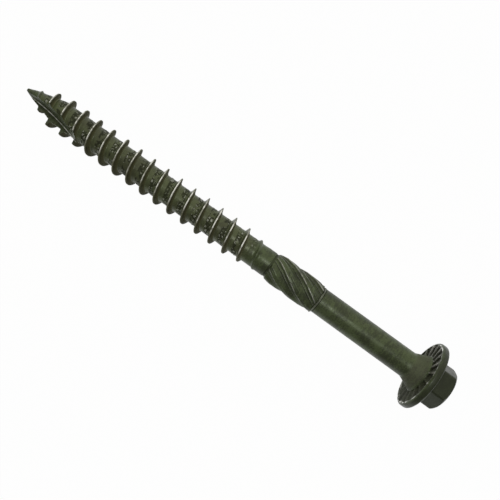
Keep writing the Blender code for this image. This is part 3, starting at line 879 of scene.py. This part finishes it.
def build_pocket_tree(sizes):
    """Sinks the pockets; adds painted shade, wear, painted highlights and the head's dull places."""
    tree, size = new_shaping_tree("pressed_pockets", sizes)
    height, angle, radius = place_on_screw(tree)[:3]

    past_turn = add_node(tree, MATH, MINUS, {0: angle, 1: size["Turn"]})
    turns = add_node(tree, MATH, DIVIDED, {0: past_turn, 1: tau})
    pockets = add_node(tree, MATH, TIMES, {0: turns, 1: size["Pockets"]})
    nudged = add_node(tree, MATH, PLUS, {0: pockets, 1: SEAM_NUDGE})
    share = add_node(tree, MATH, PART_OF_ONE, {0: nudged})
    ramp = add_node(tree, CURVE, {}, {"Value": share})
    draw_profile(ramp.mapping, POCKET_PROFILE)
    past_inner = add_node(tree, MATH, IS_ABOVE, {0: radius, 1: size["Inner Radius"]})
    before_outer = add_node(tree, MATH, IS_BELOW, {0: radius, 1: size["Outer Radius"]})
    between = add_node(tree, MATH, TIMES, {0: past_inner, 1: before_outer})
    on_face = add_node(tree, MATH, IS_NEAR, {0: height, 1: 0.0, 2: FLAT_WITHIN})
    ring = add_node(tree, MATH, TIMES, {0: between, 1: on_face})
    pocket = add_node(tree, MATH, TIMES, {0: ramp, 1: ring})
    depth = add_node(tree, MATH, TIMES, {0: pocket, 1: size["Depth"]})
    offset = add_node(tree, "ShaderNodeCombineXYZ", {}, {"Z": depth})

    # The ridges get a painted highlight on the side of the screw that faces the light.
    lit_side = lit_side_share(tree, angle, size["Lit Side"], FACE_LIT_FADES, FACE_LIT_FULL)
    is_land = add_node(tree, MATH, IS_BELOW, {0: share, 1: LAND_END})
    on_land = add_node(tree, MATH, TIMES, {0: is_land, 1: ring})
    lit_land = add_node(tree, MATH, TIMES, {0: on_land, 1: lit_side})
    land_highlight = add_node(tree, MATH, TIMES, {0: lit_land, 1: LAND_HIGHLIGHT})
    # Painted glints sit on the corner where the pockets run out at the rim, drawn as nicks in the coat.
    at_end = add_node(tree, MATH, IS_NEAR, {0: radius, 1: size["Outer Radius"], 2: GLINT_REACH})
    low = add_node(tree, MATH, IS_BELOW, {0: height, 1: GLINT_HEIGHT})
    at_low_end = add_node(tree, MATH, TIMES, {0: at_end, 1: low})
    noise = {"Vector": add_node(tree, PLACE), "Scale": 1 / GLINT_SPACING, "Detail": 1.0}
    uneven = add_node(tree, NOISE, {}, noise)
    glint_spots = add_node(tree, RANGE, SMOOTH, {"Value": uneven, "From Min": GLINT_START, "From Max": GLINT_FULL})
    glints = add_node(tree, MATH, TIMES, {0: at_low_end, 1: glint_spots})
    rubbed_and_highlit = add_node(tree, MATH, LARGER, {0: land_highlight, 1: glints})

    # Painted shade fills the pockets, most on the lit side, and darkens the whole face on the unlit side.
    unlit_side = add_node(tree, MATH, MINUS, {0: 1.0, 1: lit_side})
    kept_share = add_node(tree, MATH, TIMES_PLUS, {0: unlit_side, 1: -POCKET_SHADE_LOSS, 2: 1.0})
    depths = {"Value": pocket, "From Min": -POCKET_SHADE_SPREAD, "From Max": POCKET_SHADE_SPREAD}
    deep = add_node(tree, RANGE, SMOOTH, depths)
    pocket_shade = add_node(tree, MATH, TIMES, {0: deep, 1: kept_share})
    unlit_face_shade = add_node(tree, MATH, TIMES, {0: unlit_side, 1: UNLIT_SHADE})
    either = add_node(tree, MATH, LARGER, {0: pocket_shade, 1: unlit_face_shade})
    painted_shade = add_node(tree, MATH, TIMES, {0: either, 1: ring})

    above_face = {"Value": height, "From Min": 0.0, "From Max": FLANGE_RIM_ROUND}
    forged = add_node(tree, RANGE, SMOOTH, above_face)
    cone = {0: height, 1: CONE_BOTTOM / 2, 2: -CONE_BOTTOM / 2 - STEP_WIDTH}
    on_cone = add_node(tree, MATH, IS_NEAR, cone)
    matte = add_node(tree, MATH, LARGER, {0: on_cone, 1: ring})
    geometry = size["Geometry"]
    for name, value in (("forged", forged), ("matte", matte)):
        geometry = add_node(tree, STORE, NUMBERS, {"Geometry": geometry, "Name": name, "Value": value})
    end_tree(tree, add_to_looks(tree, geometry, painted_shade, rubbed_and_highlit), offset)
    return tree


pocket_sizes = {
    "Turn": POCKET_TURN,
    "Pockets": POCKETS,
    "Inner Radius": POCKET_INNER_DIAMETER / 2 + STEP_WIDTH / 2,
    "Outer Radius": POCKET_OUTER_DIAMETER / 2 - STEP_WIDTH / 2,
    "Depth": POCKET_DEPTH,
    "Lit Side": FACE_LIT_SIDE,
}
shape_with(screw, build_pocket_tree(pocket_sizes), pocket_sizes)

# The fluted point
# A disc cutter takes a flute out of the point: its flat side leaves the straight wall and its rim the
# curved one. Its slightly worn corner rounds the line where they meet.
FLUTE_CUTTER_DIAMETER = 0.0845
FLUTE_CORNER_RADIUS = 0.00010
FLUTE_BOTTOM_OFFSET = 0.00056
FLUTE_FACE_OFFSET = 0.00040
FLUTE_DEEPEST_FROM_TIP = 0.0005
FLUTE_ANGLE = radians(247.0)
FLUTE_CUTTER_SIDES = 720
FLUTE_SHADE_REACH = (0.0010, 0.0004, 0.00010)
FLUTE_HIGHLIGHT = (0.55, 0.0, 0.0, 0.0)
FLUTE_WALL_SHADE = (0.0, 0.7, 0.3, 0.08)
FLUTE_TOP = TIP + 0.016
CUTTER_INNER_RING = 0.004
WALL_WITHIN = 2e-6
CORNER_WITHIN = 1.01 * FLUTE_CORNER_RADIUS

flute_outward = Vector((cos(FLUTE_ANGLE), sin(FLUTE_ANGLE), 0.0))
flute_side = Vector((sin(FLUTE_ANGLE), -cos(FLUTE_ANGLE), 0.0))
cutter_reach = FLUTE_BOTTOM_OFFSET + FLUTE_CUTTER_DIAMETER / 2
cutter_centre = flute_outward * cutter_reach - flute_side * FLUTE_FACE_OFFSET
cutter_centre.z = TIP + FLUTE_DEEPEST_FROM_TIP


def make_cutter():
    """The disc cutter, turned about its own axis; its corner at height 0 is the rounded one."""
    rim = FLUTE_CUTTER_DIAMETER / 2
    round_off = FLUTE_CORNER_RADIUS
    thickness = FLUTE_FACE_OFFSET + THREAD_DIAMETER
    profile = [(0.0, 0.0), (rim - CUTTER_INNER_RING, 0.0)]
    profile += [(rim - round_off - reach, 0.0) for reach in FLUTE_SHADE_REACH]
    for slope in np.linspace(0.0, pi / 2, 5):
        profile.append((rim - round_off * (1 - sin(slope)), round_off * (1 - cos(slope))))
    profile += [(rim, round_off + reach) for reach in reversed(FLUTE_SHADE_REACH)]
    profile += [(rim, thickness), (0.0, thickness)]
    body = bmesh.new()
    points = [body.verts.new((radius, 0.0, height)) for radius, height in profile]
    edges = [body.edges.new(pair) for pair in zip(points, points[1:])]
    around = {"cent": (0, 0, 0), "axis": (0, 0, 1), "angle": tau, "steps": FLUTE_CUTTER_SIDES}
    bmesh.ops.spin(body, geom=points + edges, **around)
    bmesh.ops.remove_doubles(body, verts=body.verts, dist=MERGE_DISTANCE)
    bmesh.ops.recalc_face_normals(body, faces=body.faces)
    mesh = bpy.data.meshes.new("flute_cutter")
    body.to_mesh(mesh)
    body.free()
    cutter = bpy.data.objects.new("flute_cutter", mesh)
    cutter.rotation_euler = flute_side.to_track_quat("Z", "Y").to_euler()
    cutter.location = cutter_centre
    bpy.context.scene.collection.objects.link(cutter)
    return cutter


def cut_flute(item):
    """Takes the shape of the cutter out of the screw."""
    cutter = make_cutter()
    cut = item.modifiers.new("flute", "BOOLEAN")
    cut.operation = "DIFFERENCE"
    cut.solver = "EXACT"
    cut.object = cutter
    graph = bpy.context.evaluated_depsgraph_get()
    fluted = bpy.data.meshes.new_from_object(item.evaluated_get(graph))
    item.modifiers.clear()
    item.data = fluted
    bpy.data.objects.remove(cutter)


def shade_flute(mesh):
    """Marks the painted highlight line in the corner of the flute, and the painted shade along its walls."""
    points = np.empty(len(mesh.vertices) * 3)
    mesh.vertices.foreach_get("co", points)
    points = points.reshape(-1, 3)
    from_centre = points - np.array(cutter_centre)
    above_flat = from_centre @ np.array(flute_side)
    from_axis = np.linalg.norm(from_centre - above_flat[:, None] * np.array(flute_side), axis=1)
    inside_rim = FLUTE_CUTTER_DIAMETER / 2 - from_axis
    along_flat = np.maximum(inside_rim - FLUTE_CORNER_RADIUS, 0.0)
    along_rim = np.maximum(above_flat - FLUTE_CORNER_RADIUS, 0.0)
    in_round = (inside_rim < CORNER_WITHIN) & (above_flat < CORNER_WITHIN)
    on_wall = (np.abs(above_flat) < WALL_WITHIN) | (np.abs(inside_rim) < WALL_WITHIN) | in_round
    on_wall &= (inside_rim > -WALL_WITHIN) & (above_flat > -WALL_WITHIN) & (points[:, 2] < FLUTE_TOP)
    from_corner = along_flat + along_rim
    reach = sorted((0.0,) + FLUTE_SHADE_REACH)
    for name, levels in (("rubbed_and_highlit", FLUTE_HIGHLIGHT), ("painted_shade", FLUTE_WALL_SHADE)):
        values = np.empty(len(mesh.vertices))
        mesh.attributes[name].data.foreach_get("value", values)
        values[on_wall] = np.interp(from_corner[on_wall], reach, levels)
        mesh.attributes[name].data.foreach_set("value", values)


cut_flute(screw)
shade_flute(screw.data)

# The screw at rest
# It lies on its flange and on the crest of its thread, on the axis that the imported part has. Edges sharper
# than a worn corner stay crisp, and the rest is smooth as rolled and forged steel is.
CRISP_EDGE = radians(32.0)

mounts = {mount["name"]: mount for mount in frame["record"]["mounts"]}
axis = Vector(mounts["head_end_face"]["axis"]).normalized()
bearing_centre = Vector(mounts["head_end_face"]["pos_m"]) - axis * HEAD_HEIGHT
lying = Matrix(((axis.z, 0.0, axis.x), (0.0, 1.0, 0.0), (-axis.x, 0.0, axis.z))).to_4x4()
lying.translation = bearing_centre
screw.data.transform(lying)
screw.data.shade_smooth()
screw.data.set_sharp_from_angle(angle=CRISP_EDGE)
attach(screw, "root")
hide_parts("timber_screw")

# The floor
# A white sheet of matt paper that fills the picture. To the camera most of its light is its own, so that it
# stays white and keeps only a soft part of the screw's shadow.
FLOOR_SIZE = 2.0
FLOOR_OWN_LIGHT = 0.98
FLOOR_WHITE = "#c6c6c2"
PAPER_ROUGHNESS = 0.9


def make_paper():
    """Matt white paper, whose own light shows to the camera and in gloss and glass."""
    material = bpy.data.materials.new("white_paper")
    material.use_nodes = True
    tree = material.node_tree
    paper = tree.nodes["Principled BSDF"]
    paper.inputs["Base Color"].default_value = linear(FLOOR_WHITE)
    paper.inputs["Roughness"].default_value = PAPER_ROUGHNESS
    own_light = add_node(tree, "ShaderNodeEmission", {}, {"Strength": 1.0})
    path = add_node(tree, "ShaderNodeLightPath").outputs
    in_view = add_node(tree, MATH, PLUS, {0: path["Is Camera Ray"], 1: path["Is Glossy Ray"]})
    seen = add_node(tree, MATH, PLUS, {0: in_view, 1: path["Is Transmission Ray"]})
    share = add_node(tree, MATH, TIMES, {0: seen, 1: FLOOR_OWN_LIGHT})
    mixed = add_node(tree, "ShaderNodeMixShader", {}, {0: share, 1: paper, 2: own_light})
    tree.links.new(mixed.outputs[0], tree.nodes["Material Output"].inputs["Surface"])
    return material


half = FLOOR_SIZE / 2
floor_corners = [(-half, -half, 0.0), (half, -half, 0.0), (half, half, 0.0), (-half, half, 0.0)]
floor_mesh = bpy.data.meshes.new("floor")
floor_mesh.from_pydata(floor_corners, [], [(0, 1, 2, 3)])
floor_mesh.materials.append(make_paper())
floor = bpy.data.objects.new("floor", floor_mesh)
bpy.context.scene.collection.objects.link(floor)

# The camera
# It looks straight down on the screw from a hand's breadth above, as in the photograph. Its height and its
# station along the axis, counted from the bearing face, were solved from the places of the thread's crests.
PICTURE_TURN = radians(35.9)
CAMERA_HEIGHT_ABOVE_AXIS = 0.1043
CAMERA_STATION = -0.0385
CAMERA_SIDE = 0.00006
CAMERA_LENS = 40.3
CAMERA_SENSOR = 36.0
CAMERA_NEAREST = 0.005

under_camera = bearing_centre + axis * CAMERA_STATION
camera = bpy.data.objects.new("camera", bpy.data.cameras.new("camera"))
bpy.context.scene.collection.objects.link(camera)
camera.data.sensor_width = CAMERA_SENSOR
camera.data.lens = CAMERA_LENS
camera.data.clip_start = CAMERA_NEAREST
camera.rotation_euler = (0.0, 0.0, PICTURE_TURN)
camera.location = (under_camera.x, CAMERA_SIDE, under_camera.z + CAMERA_HEIGHT_ABOVE_AXIS)
bpy.context.scene.camera = camera

# The light
# A soft box straight overhead gives the broken streak along the shank. The surround is paler low down beyond
# the screw's far side and the tip, and darker on the near side.
OVERHEAD_SIZE = 0.13
OVERHEAD_POWER = 0.42
OVERHEAD_HEIGHT = 0.42
OVERHEAD_SIDE = 0.015
SURROUND_DARK = 0.31
SURROUND_PALE = 1.12
SURROUND_WARM_WHITE = "#fffbee"
PALE_SIDE = (-0.25, 0.95, 0.18)
PALE_START = 0.1
PALE_FULL = 1.0

overhead = bpy.data.objects.new("overhead_box", bpy.data.lights.new("overhead_box", "AREA"))
overhead.data.shape = "DISK"
overhead.data.size = OVERHEAD_SIZE
overhead.data.energy = OVERHEAD_POWER
overhead.location = (under_camera.x, OVERHEAD_SIDE, OVERHEAD_HEIGHT)
bpy.context.scene.collection.objects.link(overhead)

world = bpy.data.worlds.new("surround")
world.use_nodes = True
world_tree = world.node_tree
towards = add_node(world_tree, "ShaderNodeTexCoord").outputs["Generated"]
pale_side = Vector(PALE_SIDE).normalized()
facing = add_node(world_tree, VECTOR_MATH, {"operation": "DOT_PRODUCT"}, {0: towards, 1: pale_side})
levels = {"From Min": PALE_START, "From Max": PALE_FULL, "To Min": SURROUND_DARK, "To Max": SURROUND_PALE}
level = add_node(world_tree, RANGE, SMOOTH, {"Value": facing} | levels)
background = world_tree.nodes["Background"]
world_tree.links.new(level.outputs["Result"], background.inputs["Strength"])
background.inputs["Color"].default_value = linear(SURROUND_WARM_WHITE)
bpy.context.scene.world = world
bpy.context.scene.view_settings.view_transform = "Standard"
